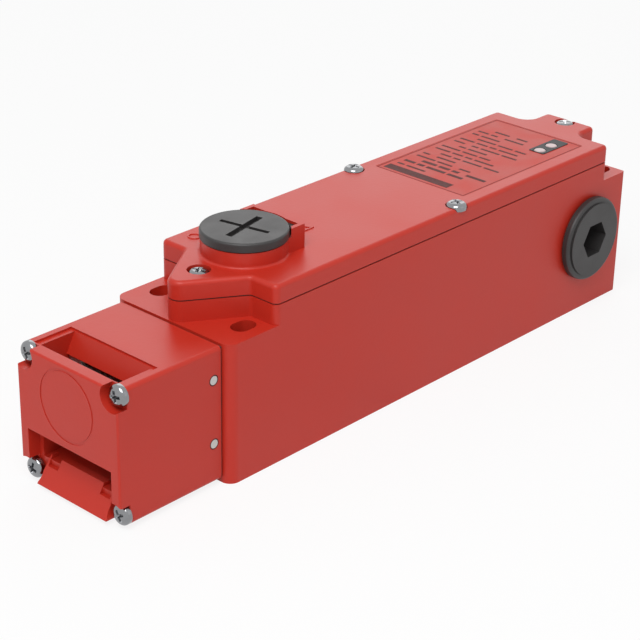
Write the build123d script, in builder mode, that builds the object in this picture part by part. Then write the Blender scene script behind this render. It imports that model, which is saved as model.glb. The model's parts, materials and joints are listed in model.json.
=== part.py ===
from build123d import *
import math
import os

os.makedirs("parts", exist_ok=True)

# Tongue interlock switch with a solenoid guard lock. Millimetres, +Z away from the mounting face,
# +X from the operating head to the far end. The origin is the centre of the four fixing slots.

# Clearances
running_gap = 0.05
free_gap = 0.3
edge_break = 0.5

# Fixing slots
slot_width = 5.3
slot_length = 7.3
slot_to_front = 11.0
slot_to_rear = 4.5
slot_to_side = 6.25

# Body casting
body_length = 170.0
body_width = 42.5
body_height = 45.5
pad_drop = 5.7
side_wall = 3.25
floor_thickness = 3.2
front_block = 19.0
rear_block = 13.5
near_notch = 16.4
far_notch = 10.1
body_front_radius = 3.0
body_rear_radius = 0.8
cavity_radius = 2.0

# Lid outline: a tapered tongue over the head end and an ear over the far end
tongue_root = 12.3
tongue_angle = 33.15
nose_radius = 3.3
tongue_root_radius = 1.4
shoulder_radius = 1.8
ear_half = 9.0
ear_root_radius = 4.0
ear_corner_radius = 1.5
ear_shoulder_radius = 1.5

# Lid
gasket_thickness = 0.4
gasket_inset = 0.35
lid_thickness = 5.1
lid_edge_radius = 1.2
lid_pocket_depth = 2.6
lid_pocket_start = 65.0
lid_pocket_land = 3.4

# Screws
screw_shank = 1.2
screw_thread_gap = 0.05
screw_hole = 1.6
screw_head = 2.9
screw_head_height = 2.1
screw_head_round = 1.2
screw_recess = 3.15
nose_screw_x = 10.0
nose_screw_depth = 2.1
side_screw_to_label = 6.2
side_screw_to_side = 2.15
side_screw_depth = 1.0
ear_screw_x = 3.3
ear_screw_depth = 1.9
lid_screw_length = 12.0
screw_boss = 3.4
screw_boss_height = 15.5

# Release disc, its boss and its guard on the lid
disc_x = 26.4
disc_radius = 11.8
disc_height = 2.4
disc_round = 0.6
boss_radius = 11.6
boss_height = 4.3
boss_foot_radius = 0.7
cross_depth = 1.2
cross_wide = 2.0
cross_narrow = 1.4
cross_length = 15.0
cross_angle = 12.0
guard_reach = 12.9
guard_half = 9.4
guard_wall = 1.25
guard_height = 6.8
guard_clearance = 0.4
detent_drop = 0.8
shaft_radius = 4.3
shaft_square = 5.0
shaft_square_height = 1.0
eccentric_radius = 1.2
eccentric_offset = 2.8
eccentric_length = 1.8
clip_radius = 6.2
clip_thickness = 1.0
clip_groove = 0.7
seal_section = 0.6
seal_below_top = 1.6

# Label and indicator window
label_to_shoulder = 6.3
label_length = 57.1
label_to_side = 4.75
label_depth = 0.3
label_thickness = 0.25
label_radius = 1.0
window_to_label_end = 14.3
window_to_label_side = 7.0
window_length = 12.7
window_width = 5.4
window_radius = 0.6
window_rise = 0.1
lens_radius = 1.8
lens_rise = 0.2
lens_first = 2.0
lens_pitch = 5.6
board_thickness = 1.2
board_margin = 2.4

# Cable entries, M20
entry_radius = 9.2
side_entry_to_rear = 18.0
side_entry_z = 23.4
rear_entry_z = 20.4
plug_flange = 13.0
plug_face = 11.4
plug_step = 0.5
plug_thickness = 2.6
plug_round = 0.9
plug_length = 7.6
plug_hexagon = 10.0
plug_socket = 6.0
entry_seal_thickness = 0.6
entry_seal_radius = 12.2

# Operating head
head_depth = 34.4
head_width = 37.4
head_height = 38.0
head_lift = 1.4
head_gasket_thickness = 0.6
head_gasket_inset = 0.4
head_edge_radius = 1.1
head_front_round = 0.6
head_wall = 3.7
head_cavity_half = 14.4
head_cavity_low = 6.2
head_cavity_high = 32.1
head_screw_pitch = 33.0
head_screw_recess = 3.9
head_screw_depth = 3.3
head_screw_shank = 1.4
head_screw_reach = 6.0
ring_mark_radius = 9.7
ring_mark_width = 0.7
ring_mark_depth = 0.15
ring_mark_z = 27.1
front_slot_half = 15.7
front_slot_height = 15.1
ramp_reach = 4.2
ramp_height = 7.2
ramp_length = 6.2
ramp_foot_half = 13.2
ramp_top_half = 12.1
ramp_notch_in = 8.0
ramp_notch_out = 11.7
ramp_notch_depth = 2.6
top_slot_reach = 8.8
top_mouth_reach = 12.0
top_mouth_ledge = 0.6
top_mouth_half = 16.1
cross_pin_radius = 1.25
cross_pin_inset = 2.5
cross_pin_high = 29.4
cross_pin_low = 11.3

# Rotor and the cage that carries it
rotor_radius = 10.0
rotor_half = 9.2
rotor_inset = 16.9
axis_z = 21.75
axle_radius = 2.0
cam_half = 3.6
cam_top = 9.6
cam_stroke = 5.0
cam_turn = 60.0
cam_dwell_end = 95.0
cam_flank_end = 105.0
notch_radius = 2.6
notch_distance = 9.0
front_notch_angle = -118.0
top_notch_angle = 152.0
cage_half = 14.1
cage_back = 4.9
cage_reach = 21.4
cage_bottom_gap = 0.4
cage_cheek_gap = 0.3
cage_cheek_low = 17.0
cage_rod_hole = 3.4

# Plunger rod and its bush
tip_radius = 2.0
tip_neck = 1.6
rod_radius = 3.0
lock_x = 37.0
collar_radius = 5.5
collar_front = 4.5
collar_rear = 9.5
groove_depth = 2.75
groove_length = 3.8
stem_radius = 2.0
bush_radius = 4.5
bush_length = 17.0
bush_flange = 6.0
bush_flange_thickness = 1.2

# Guard lock. Places along the body are distances from its front.
lock_pin_radius = 1.8
lock_pin_length = 14.5
lock_stroke = 3.0
follower_radius = 1.0
follower_half = 4.6
follower_z = 33.5
slide_web_low = 36.0
slide_web = 1.2
slide_half = 6.5
slide_front = 20.2
slide_rear = 51.0
cheek_low = 28.5
cheek_inner = 2.4
cheek_outer = 4.0
cheek_front = 31.5
slide_end_plate = 2.0
bracket_thickness = 1.5
bracket_front = 21.0
bracket_rear = 45.0
bracket_side_gap = 0.2
bracket_leg = 1.2
bracket_tab_length = 4.0
bracket_tab_height = 3.0

# Room from the lock slide to the rear wall, which the pieces behind the slide share in proportion
room_behind_lock = 105.5

# Solenoid
solenoid_z = 32.0
solenoid_front = 79.0
solenoid_length = 34.0
solenoid_half = 11.0
solenoid_plate = 2.0
solenoid_window = 10.5
armature_radius = 4.0
armature_start = 81.8
armature_end = 103.0
link_radius = 1.5
tail_radius = 1.2
tail_bore = 1.5
core_radius = 4.2
bobbin_wall = 1.0
bobbin_flange = 10.1
bobbin_flange_thickness = 1.0
winding_radius = 9.4
saddle_thickness = 3.0
saddle_half = 9.0
saddle_inset = 4.0

# Springs
wire_radius = 0.35
plunger_spring_radius = 4.6
armature_spring_radius = 3.0
spring_turns = 4
spring_collar = 71.0
spring_collar_radius = 3.4
spring_collar_thickness = 1.5

# Contact blocks
block_half = 13.5
block_rise = 6.25
carrier_half_y = 2.6
carrier_half_z = 2.9
channel_gap = 0.3
chamber_half = 10.0
bar_thickness = 0.8
bar_half = 9.0
bar_height = 3.2
contact_inner = 6.0
contact_outer = 9.5
contact_drop = 2.0
contact_tab = 6.0
terminal_head = 1.7
terminal_head_height = 1.4
terminal_shank = 1.0
terminal_depth = 2.2
terminal_inset = 3.6
block_a_front = 54.5
block_a_length = 22.0
block_a_bars = (62.5, 71.3)
carrier_a_length = 19.0
carrier_a_inset = 0.5
block_b_front = 117.0
block_b_length = 20.0
block_b_bars = (122.0, 131.0)
carrier_b_length = 14.5
carrier_b_inset = 1.5

# Earth terminal
earth_x = 143.0
earth_to_wall = 6.0
earth_boss_radius = 3.5
earth_boss_height = 3.8
earth_head = 2.7
earth_head_height = 1.8

# Places that follow from the sizes above
slot_pitch_x = body_length - slot_to_front - slot_to_rear
slot_pitch_y = body_width - 2 * slot_to_side
pad_height = body_height - pad_drop
body_front_x = -slot_pitch_x / 2 - slot_to_front
body_rear_x = body_front_x + body_length
near_notch_x = body_front_x + near_notch
far_notch_x = body_rear_x - far_notch
cavity_front_x = body_front_x + front_block
cavity_rear_x = body_rear_x - rear_block
body_half = body_width / 2
cavity_half = body_half - side_wall
lid_bottom = body_height + gasket_thickness
lid_top = lid_bottom + lid_thickness
boss_top = lid_top + boss_height
disc_centre_x = body_front_x + disc_x
disc_bottom = boss_top + free_gap
disc_top = disc_bottom + disc_height
label_end_x = far_notch_x - label_to_shoulder
label_start_x = label_end_x - label_length
label_half = body_half - label_to_side
window_x = label_end_x - window_to_label_end
window_y = window_to_label_side - label_half
side_screw_x = label_start_x - side_screw_to_label
side_screw_y = body_half - side_screw_to_side
lid_screws = (
    (body_front_x + nose_screw_x, 0.0, nose_screw_depth),
    (side_screw_x, side_screw_y, side_screw_depth),
    (side_screw_x, -side_screw_y, side_screw_depth),
    (body_rear_x - ear_screw_x, 0.0, ear_screw_depth),
)
side_entry_x = body_rear_x - side_entry_to_rear
head_rear_x = body_front_x - head_gasket_thickness
head_front_x = head_rear_x - head_depth
head_top = head_lift + head_height
head_mid_z = head_lift + head_height / 2
head_screw_places = [
    (side * head_screw_pitch / 2, head_mid_z + level * head_screw_pitch / 2)
    for side in (-1, 1)
    for level in (-1, 1)
]
cross_pin_x = head_rear_x - cross_pin_inset
rotor_x = head_rear_x - rotor_inset
tip_rest_x = rotor_x + cam_top + free_gap + tip_radius
lock_pin_x = body_front_x + lock_x
slide_rear_x = body_front_x + slide_rear
bracket_low = slide_web_low + slide_web + free_gap
bracket_half = cavity_half - bracket_side_gap
solenoid_low = solenoid_z - solenoid_window - solenoid_plate


def behind_lock(distance):
    """Place behind the lock slide, in proportion to the room that the body leaves there."""
    share = (cavity_rear_x - slide_rear_x) / room_behind_lock
    return slide_rear_x + (distance - slide_rear) * share


spring_seat_x = behind_lock(block_a_front)
solenoid_front_x = behind_lock(solenoid_front)
solenoid_rear_x = behind_lock(solenoid_front + solenoid_length)
armature_front_x = behind_lock(armature_start)
armature_end_x = behind_lock(armature_end)
spring_collar_x = behind_lock(spring_collar)
carrier_b_x = behind_lock(block_b_front + carrier_b_inset)
earth_centre = (behind_lock(earth_x), cavity_half - earth_to_wall)


def save(piece, name):
    """Name a finished piece and write its file."""
    piece.part.label = name
    export_step(piece.part, f"parts/{name}.step")


def block(x_span, y_span, z_span, mode=Mode.ADD):
    """Rectangular block between two corners, in the open part."""
    with BuildSketch(Plane.XY.offset(z_span[0])) as base:
        with Locations(((x_span[0] + x_span[1]) / 2, (y_span[0] + y_span[1]) / 2)):
            Rectangle(x_span[1] - x_span[0], y_span[1] - y_span[0])
    extrude(base.sketch, amount=z_span[1] - z_span[0], mode=mode)


def round_bar_x(x_span, places, radius, mode=Mode.ADD):
    """Round bars or holes along X at the given (y, z) places, in the open part."""
    with BuildSketch(Plane.YZ.offset(x_span[0])) as base:
        with Locations(*places):
            Circle(radius)
    extrude(base.sketch, amount=x_span[1] - x_span[0], mode=mode)


def round_bar_z(z_span, places, radius, mode=Mode.ADD):
    """Round bars or holes along Z at the given (x, y) places, in the open part."""
    with BuildSketch(Plane.XY.offset(z_span[0])) as base:
        with Locations(*places):
            Circle(radius)
    extrude(base.sketch, amount=z_span[1] - z_span[0], mode=mode)


def round_bar_y(half, places, radius, mode=Mode.ADD):
    """Round bars or holes along Y, centred, at the given (x, z) places, in the open part."""
    with BuildSketch(Plane.XZ) as base:
        with Locations(*places):
            Circle(radius)
    extrude(base.sketch, amount=half, both=True, mode=mode)


def lid_outline():
    """Outline that the lid, its gasket and the top of the body share."""
    apex_x = near_notch_x - tongue_root / math.tan(math.radians(tongue_angle))
    with BuildSketch() as outline:
        with BuildLine():
            Polyline(
                (apex_x, 0),
                (near_notch_x, -tongue_root),
                (near_notch_x, -body_half),
                (far_notch_x, -body_half),
                (far_notch_x, -ear_half),
                (body_rear_x, -ear_half),
                (body_rear_x, ear_half),
                (far_notch_x, ear_half),
                (far_notch_x, body_half),
                (near_notch_x, body_half),
                (near_notch_x, tongue_root),
                close=True,
            )
        make_face()
        fillet(outline.vertices().group_by(Axis.X)[3], ear_corner_radius)
        ear_line = outline.vertices().group_by(Axis.X)[2].group_by(Axis.Y)
        fillet(ear_line[1] + ear_line[2], ear_root_radius)
        ear_line = outline.vertices().group_by(Axis.X)[2].group_by(Axis.Y)
        fillet(ear_line[0] + ear_line[-1], ear_shoulder_radius)
        root_line = outline.vertices().group_by(Axis.X)[1].group_by(Axis.Y)
        fillet(root_line[0] + root_line[-1], shoulder_radius)
        root_line = outline.vertices().group_by(Axis.X)[1].group_by(Axis.Y)
        fillet(root_line[1] + root_line[2], tongue_root_radius)
        fillet(outline.vertices().group_by(Axis.X)[0], nose_radius)
    return outline.sketch


def cavity_outline():
    """Plan of the body's cavity, with the bosses of the side screws left standing."""
    with BuildSketch() as plan:
        with Locations(((cavity_front_x + cavity_rear_x) / 2, 0)):
            RectangleRounded(cavity_rear_x - cavity_front_x, 2 * cavity_half, cavity_radius)
    return plan.sketch


def side_boss_outline():
    """Plan of the two side screw bosses, cut off at the body's outer faces."""
    with BuildSketch() as plan:
        with Locations(*[(x, y) for x, y, _ in lid_screws[1:3]]):
            Circle(screw_boss)
        with Locations(((cavity_front_x + cavity_rear_x) / 2, 0)):
            Rectangle(body_length, body_width, mode=Mode.INTERSECT)
    return plan.sketch


# Body housing
with BuildPart() as body_housing:
    with BuildSketch():
        with Locations((body_front_x + body_length / 2, 0)):
            Rectangle(body_length, body_width)
    extrude(amount=pad_height)
    uprights = body_housing.edges().filter_by(Axis.Z).group_by(Axis.X)
    fillet(uprights[0], body_front_radius)
    uprights = body_housing.edges().filter_by(Axis.Z).group_by(Axis.X)
    fillet(uprights[-1], body_rear_radius)
    with BuildSketch(Plane.XY.offset(pad_height)):
        add(lid_outline())
    extrude(amount=body_height - pad_height)
    with BuildSketch(Plane.XY.offset(floor_thickness)):
        add(cavity_outline())
    extrude(amount=body_height, mode=Mode.SUBTRACT)
    with BuildSketch(Plane.XY.offset(body_height - screw_boss_height)):
        add(side_boss_outline())
    extrude(amount=screw_boss_height)
    # saddles under the solenoid
    for saddle_x in (solenoid_front_x + saddle_inset, solenoid_rear_x - saddle_inset - saddle_thickness):
        block(
            (saddle_x, saddle_x + saddle_thickness),
            (-saddle_half, saddle_half),
            (floor_thickness - edge_break, solenoid_low),
        )
    # boss of the earth terminal
    earth_seat = floor_thickness + earth_boss_height
    round_bar_z((floor_thickness - edge_break, earth_seat), [earth_centre], earth_boss_radius)
    round_bar_z((floor_thickness, earth_seat), [earth_centre], screw_shank, Mode.SUBTRACT)
    # fixing slots
    with BuildSketch():
        with GridLocations(slot_pitch_x, slot_pitch_y, 2, 2):
            SlotOverall(slot_length, slot_width)
    extrude(amount=body_height, mode=Mode.SUBTRACT)
    # threaded holes of the lid screws and of the head screws
    round_bar_z(
        (body_height - lid_screw_length, body_height),
        [(x, y) for x, y, _ in lid_screws],
        screw_shank + screw_thread_gap,
        Mode.SUBTRACT,
    )
    round_bar_x(
        (body_front_x, body_front_x + head_screw_reach),
        head_screw_places,
        head_screw_shank + screw_thread_gap,
        Mode.SUBTRACT,
    )
    # bore of the plunger bush
    round_bar_x(
        (body_front_x, cavity_front_x + cavity_radius),
        [(0, axis_z)],
        bush_radius + running_gap,
        Mode.SUBTRACT,
    )
    # cable entries
    rear_wall = (cavity_rear_x - cavity_radius, body_rear_x)
    round_bar_x(rear_wall, [(0, rear_entry_z)], entry_radius, Mode.SUBTRACT)
    for side in (Plane.XZ, Plane.XZ.rotated((180, 0, 0))):
        level = side_entry_z if side.z_dir.Y < 0 else -side_entry_z
        with BuildSketch(side.offset(body_half)):
            with Locations((side_entry_x, level)):
                Circle(entry_radius)
        extrude(amount=-(plug_length + edge_break), mode=Mode.SUBTRACT)
save(body_housing, "body_housing")

# Gasket between body and lid
with BuildPart() as cover_gasket:
    with BuildSketch(Plane.XY.offset(body_height)):
        add(lid_outline())
        offset(amount=-gasket_inset)
        add(cavity_outline(), mode=Mode.SUBTRACT)
        with BuildSketch(mode=Mode.PRIVATE) as boss_land:
            add(side_boss_outline())
            offset(amount=-gasket_inset)
        add(boss_land.sketch)
        with Locations(*[(x, y) for x, y, _ in lid_screws]):
            Circle(screw_shank + free_gap, mode=Mode.SUBTRACT)
    extrude(amount=gasket_thickness)
save(cover_gasket, "cover_gasket")

# Lid with the boss and the guard of the release disc
with BuildPart() as cover:
    with BuildSketch(Plane.XY.offset(lid_bottom)):
        add(lid_outline())
    extrude(amount=lid_thickness)
    fillet(cover.faces().sort_by(Axis.Z)[-1].edges(), lid_edge_radius)
    with BuildSketch(Plane.XY.offset(lid_top)):
        with Locations((disc_centre_x, 0)):
            Circle(boss_radius)
    extrude(amount=boss_height)
    flats = cover.faces().filter_by(Axis.Z)
    lid_face = flats.filter_by_position(Axis.Z, lid_bottom, boss_top, (False, False))
    boss_foot = lid_face.edges().filter_by(GeomType.CIRCLE).sort_by(SortBy.RADIUS)[-1]
    fillet(boss_foot, boss_foot_radius)
    with BuildSketch(Plane.XY.offset(lid_top - edge_break)):
        with Locations((disc_centre_x + guard_reach / 2, 0)):
            Rectangle(guard_reach, 2 * guard_half)
        with Locations((disc_centre_x + (guard_reach - guard_wall) / 2, 0)):
            Rectangle(guard_reach - guard_wall, 2 * (guard_half - guard_wall), mode=Mode.SUBTRACT)
        with Locations((disc_centre_x, 0)):
            Circle(boss_radius - edge_break, mode=Mode.SUBTRACT)
    extrude(amount=guard_height + edge_break)
    round_bar_z(
        (boss_top, lid_top + guard_height), [(disc_centre_x, 0)], disc_radius + guard_clearance, Mode.SUBTRACT
    )
    # pocket underneath for the indicator board
    with BuildSketch(Plane.XY.offset(lid_bottom)):
        pocket_x = (body_front_x + lid_pocket_start, cavity_rear_x - side_wall / 2)
        with Locations(((pocket_x[0] + pocket_x[1]) / 2, 0)):
            RectangleRounded(pocket_x[1] - pocket_x[0], 2 * (cavity_half - lid_pocket_land), cavity_radius)
    extrude(amount=lid_pocket_depth, mode=Mode.SUBTRACT)
    # shallow field for the label and the hole of the indicator window
    with BuildSketch(Plane.XY.offset(lid_top - label_depth)):
        with Locations((label_start_x + label_length / 2, 0)):
            RectangleRounded(label_length, 2 * label_half, label_radius)
    extrude(amount=lid_thickness, mode=Mode.SUBTRACT)
    with BuildSketch(Plane.XY.offset(lid_bottom)):
        with Locations((window_x + window_length / 2, window_y)):
            RectangleRounded(
                window_length + 2 * running_gap, window_width + 2 * running_gap, window_radius + running_gap
            )
    extrude(amount=lid_thickness, mode=Mode.SUBTRACT)
    # shaft bore and screw holes
    round_bar_z((lid_bottom, boss_top), [(disc_centre_x, 0)], shaft_radius + running_gap, Mode.SUBTRACT)
    for x, y, depth in lid_screws:
        round_bar_z((lid_bottom, lid_top), [(x, y)], screw_hole, Mode.SUBTRACT)
        round_bar_z((lid_top - depth, lid_top + depth), [(x, y)], screw_recess, Mode.SUBTRACT)
save(cover, "cover")

# Lid screws
with BuildPart() as cover_screws:
    for x, y, depth in lid_screws:
        seat = lid_top - depth
        round_bar_z((seat, seat + screw_head_height), [(x, y)], screw_head)
    crowns = cover_screws.faces().filter_by(Axis.Z).filter_by(lambda face: face.normal_at().Z > 0)
    fillet(crowns.edges(), screw_head_round)
    for x, y, depth in lid_screws:
        seat = lid_top - depth
        round_bar_z((body_height - lid_screw_length + edge_break, seat), [(x, y)], screw_shank)
save(cover_screws, "cover_screws")

# Release disc
with BuildPart() as release_disc:
    round_bar_z((disc_bottom, disc_top), [(disc_centre_x, 0)], disc_radius)
    fillet(release_disc.faces().sort_by(Axis.Z)[-1].edges(), disc_round)
    with BuildSketch(Plane.XY.offset(disc_top - cross_depth)):
        with Locations(Location((disc_centre_x, 0, 0), (0, 0, cross_angle))):
            Rectangle(cross_length, cross_wide)
            Rectangle(cross_narrow, cross_length)
    extrude(amount=disc_height, mode=Mode.SUBTRACT)
    with BuildSketch(Plane.XY.offset(disc_bottom)):
        with Locations((disc_centre_x, 0)):
            Rectangle(shaft_square + 2 * running_gap, shaft_square + 2 * running_gap)
    extrude(amount=shaft_square_height, mode=Mode.SUBTRACT)
save(release_disc, "release_disc")

# Release shaft with its drive square, clip groove, seal groove and eccentric pin
clip_top = lid_bottom - free_gap
clip_bottom = clip_top - clip_thickness
seal_z = lid_top - seal_below_top
seal_centre_radius = shaft_radius - seal_section
shaft_x = disc_centre_x + shaft_radius
clip_groove_x = shaft_x - clip_groove
seal_groove_x = disc_centre_x + seal_centre_radius - seal_section - running_gap
with BuildPart() as release_shaft:
    with BuildSketch(Plane.XZ) as shaft_profile:
        with BuildLine():
            Polyline(
                (disc_centre_x, bracket_low),
                (shaft_x, bracket_low),
                (shaft_x, clip_bottom - running_gap),
                (clip_groove_x, clip_bottom - running_gap),
                (clip_groove_x, clip_top + running_gap),
                (shaft_x, clip_top + running_gap),
                (shaft_x, seal_z - seal_section - running_gap),
                (seal_groove_x, seal_z - seal_section - running_gap),
                (seal_groove_x, seal_z + seal_section + running_gap),
                (shaft_x, seal_z + seal_section + running_gap),
                (shaft_x, disc_bottom),
                (disc_centre_x, disc_bottom),
                close=True,
            )
        make_face()
    revolve(axis=Axis((disc_centre_x, 0, 0), (0, 0, 1)))
    with BuildSketch(Plane.XY.offset(disc_bottom)):
        with Locations((disc_centre_x, 0)):
            Rectangle(shaft_square, shaft_square)
    extrude(amount=shaft_square_height - running_gap)
    round_bar_z(
        (bracket_low - eccentric_length, bracket_low),
        [(disc_centre_x + eccentric_offset, 0)],
        eccentric_radius,
    )
save(release_shaft, "release_shaft")

# Ring seal on the shaft
with BuildPart() as release_seal:
    with BuildSketch(Plane.XZ):
        with Locations((disc_centre_x + seal_centre_radius, seal_z)):
            Circle(seal_section)
    revolve(axis=Axis((disc_centre_x, 0, 0), (0, 0, 1)))
save(release_seal, "release_seal")

# Retaining clip, open on one side
with BuildPart() as release_clip:
    with BuildSketch(Plane.XY.offset(clip_bottom)):
        with Locations((disc_centre_x, 0)):
            Circle(clip_radius)
            Circle(shaft_radius - clip_groove + running_gap, mode=Mode.SUBTRACT)
        with Locations((disc_centre_x - clip_radius / 2, 0)):
            Rectangle(clip_radius, shaft_radius, mode=Mode.SUBTRACT)
    extrude(amount=clip_thickness)
save(release_clip, "release_clip")

# Stop blocks in the two corners of the guard
with BuildPart() as release_stops:
    with BuildSketch(Plane.XY.offset(lid_top)):
        with Locations((disc_centre_x + (guard_reach - guard_wall) / 2, 0)):
            Rectangle(guard_reach - guard_wall, 2 * (guard_half - guard_wall))
        with Locations((disc_centre_x, 0)):
            Circle(disc_radius + guard_clearance, mode=Mode.SUBTRACT)
    extrude(amount=guard_height - detent_drop)
save(release_stops, "release_stops")

# Label plate in the lid
with BuildPart() as label_plate:
    with BuildSketch(Plane.XY.offset(lid_top - label_depth)):
        with Locations((label_start_x + label_length / 2, 0)):
            RectangleRounded(
                label_length - 2 * running_gap, 2 * (label_half - running_gap), label_radius - running_gap
            )
        with Locations((window_x + window_length / 2, window_y)):
            RectangleRounded(
                window_length + 2 * running_gap,
                window_width + 2 * running_gap,
                window_radius + running_gap,
                mode=Mode.SUBTRACT,
            )
    extrude(amount=label_thickness)
save(label_plate, "label_plate")

# Indicator window, its two lenses and the board below
board_top = lid_bottom + lid_pocket_depth - free_gap
lens_places = [(window_x + lens_first, window_y), (window_x + lens_first + lens_pitch, window_y)]
with BuildPart() as led_window:
    with BuildSketch(Plane.XY.offset(board_top)):
        with Locations((window_x + window_length / 2, window_y)):
            RectangleRounded(window_length, window_width, window_radius)
        with Locations(*lens_places):
            Circle(lens_radius + running_gap, mode=Mode.SUBTRACT)
    extrude(amount=lid_top + window_rise - board_top)
save(led_window, "led_window")

with BuildPart() as led_lenses:
    round_bar_z((board_top, lid_top + lens_rise), lens_places, lens_radius)
    lens_tops = led_lenses.faces().filter_by(Axis.Z).filter_by(lambda face: face.normal_at().Z > 0)
    fillet(lens_tops.edges(), edge_break)
save(led_lenses, "led_lenses")

with BuildPart() as led_board:
    block(
        (window_x - board_margin, window_x + window_length + board_margin),
        (window_y - window_width / 2 - board_margin / 2, window_y + window_width / 2 + board_margin),
        (board_top - board_thickness, board_top),
    )
save(led_board, "led_board")

# Cable entry plugs on both sides, each with its seal
plug_axis = Axis((side_entry_x, 0, side_entry_z), (0, 1, 0))
flange_y = -body_half - entry_seal_thickness
plug_front_y = flange_y - plug_thickness
plug_tip_y = plug_length - body_half
with BuildPart() as entry_plugs:
    with BuildSketch(Plane.XY.offset(side_entry_z)):
        with BuildLine():
            Polyline(
                (side_entry_x, plug_tip_y),
                (side_entry_x + entry_radius - free_gap, plug_tip_y),
                (side_entry_x + entry_radius - running_gap, plug_tip_y - free_gap),
                (side_entry_x + entry_radius - running_gap, flange_y),
                (side_entry_x + plug_flange, flange_y),
                (side_entry_x + plug_flange, plug_front_y + plug_step),
                (side_entry_x + plug_face, plug_front_y + plug_step),
                (side_entry_x + plug_face, plug_front_y),
                (side_entry_x, plug_front_y),
                close=True,
            )
        make_face()
    revolve(axis=plug_axis)
    rims = entry_plugs.edges().filter_by(GeomType.CIRCLE).group_by(SortBy.RADIUS)[-1]
    fillet(rims.sort_by(Axis.Y)[0], plug_round)
    with BuildSketch(Plane.XZ.offset(-plug_front_y)):
        with Locations((side_entry_x, side_entry_z)):
            RegularPolygon(plug_hexagon / 2, 6, major_radius=False)
    extrude(amount=-plug_socket, mode=Mode.SUBTRACT)
    mirror(about=Plane.XZ)
save(entry_plugs, "entry_plugs")

with BuildPart() as entry_seals:
    with BuildSketch(Plane.XZ.offset(body_half)):
        with Locations((side_entry_x, side_entry_z)):
            Circle(entry_seal_radius)
            Circle(entry_radius, mode=Mode.SUBTRACT)
    extrude(amount=entry_seal_thickness)
    mirror(about=Plane.XZ)
save(entry_seals, "entry_seals")

# Guide ramp below the front slot of the head
with BuildPart() as ramp:
    with BuildSketch(Plane.YZ.offset(head_front_x)):
        with BuildLine():
            Polyline(
                (-ramp_foot_half, head_lift),
                (ramp_foot_half, head_lift),
                (ramp_top_half, head_lift + ramp_height),
                (ramp_notch_out, head_lift + ramp_height),
                (ramp_notch_out, head_lift + ramp_height - ramp_notch_depth),
                (ramp_notch_in, head_lift + ramp_height - ramp_notch_depth),
                (ramp_notch_in, head_lift + ramp_height),
                (-ramp_notch_in, head_lift + ramp_height),
                (-ramp_notch_in, head_lift + ramp_height - ramp_notch_depth),
                (-ramp_notch_out, head_lift + ramp_height - ramp_notch_depth),
                (-ramp_notch_out, head_lift + ramp_height),
                (-ramp_top_half, head_lift + ramp_height),
                close=True,
            )
        make_face()
    extrude(amount=ramp_length)
    with BuildSketch(Plane.XZ):
        with BuildLine():
            Polyline(
                (head_front_x, head_lift),
                (head_front_x + ramp_reach, head_lift + ramp_height),
                (head_front_x, head_lift + ramp_height),
                close=True,
            )
        make_face()
    extrude(amount=head_width, both=True, mode=Mode.SUBTRACT)

# Head housing
with BuildPart() as head_housing:
    with BuildSketch(Plane.YZ.offset(head_front_x)):
        with Locations((0, head_mid_z)):
            Rectangle(head_width, head_height)
    extrude(amount=head_depth)
    fillet(head_housing.edges().filter_by(Axis.X), head_edge_radius)
    fillet(head_housing.faces().sort_by(Axis.X)[0].edges(), head_front_round)
    # room for the rotor, open to the rear
    block(
        (head_front_x + head_wall, head_rear_x),
        (-head_cavity_half, head_cavity_half),
        (head_lift + head_cavity_low, head_lift + head_cavity_high),
        Mode.SUBTRACT,
    )
    # top mouth with its sloping rear wall and shallow ledge
    with BuildSketch(Plane.XZ):
        with BuildLine():
            Polyline(
                (head_front_x + head_wall, head_lift + head_cavity_high - edge_break),
                (head_front_x + head_wall + top_slot_reach, head_lift + head_cavity_high - edge_break),
                (head_front_x + head_wall + top_slot_reach, head_lift + head_cavity_high),
                (head_front_x + head_wall + top_mouth_reach, head_top),
                (head_front_x + head_wall, head_top),
                close=True,
            )
        make_face()
    extrude(amount=head_cavity_half, both=True, mode=Mode.SUBTRACT)
    block(
        (head_front_x + head_wall, head_front_x + head_wall + top_mouth_reach),
        (-top_mouth_half, top_mouth_half),
        (head_top - top_mouth_ledge, head_top),
        Mode.SUBTRACT,
    )
    # front slot, open downwards, with the ramp inside it
    block(
        (head_front_x, head_front_x + head_wall),
        (-front_slot_half, front_slot_half),
        (head_lift, head_lift + front_slot_height),
        Mode.SUBTRACT,
    )
    add(ramp.part)
    # corner counterbores and screw holes
    head_seat_x = head_front_x + head_screw_depth
    round_bar_x((head_front_x, head_seat_x), head_screw_places, head_screw_recess, Mode.SUBTRACT)
    round_bar_x((head_front_x, head_rear_x), head_screw_places, screw_hole, Mode.SUBTRACT)
    # cross pin holes
    cross_pin_places = [(cross_pin_x, head_lift + cross_pin_high), (cross_pin_x, head_lift + cross_pin_low)]
    round_bar_y(head_width / 2, cross_pin_places, cross_pin_radius, Mode.SUBTRACT)
    # shallow ring on the front
    with BuildSketch(Plane.YZ.offset(head_front_x)):
        with Locations((0, head_lift + ring_mark_z)):
            Circle(ring_mark_radius + ring_mark_width / 2)
            Circle(ring_mark_radius - ring_mark_width / 2, mode=Mode.SUBTRACT)
    extrude(amount=ring_mark_depth, mode=Mode.SUBTRACT)
save(head_housing, "head_housing")

with BuildPart() as head_gasket:
    with BuildSketch(Plane.YZ.offset(head_rear_x)):
        with Locations((0, head_mid_z)):
            Rectangle(head_width - 2 * head_gasket_inset, head_height - 2 * head_gasket_inset)
        with Locations(*head_screw_places):
            Circle(screw_hole, mode=Mode.SUBTRACT)
        with Locations((0, axis_z)):
            Circle(cage_rod_hole, mode=Mode.SUBTRACT)
    extrude(amount=head_gasket_thickness)
save(head_gasket, "head_gasket")

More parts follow.
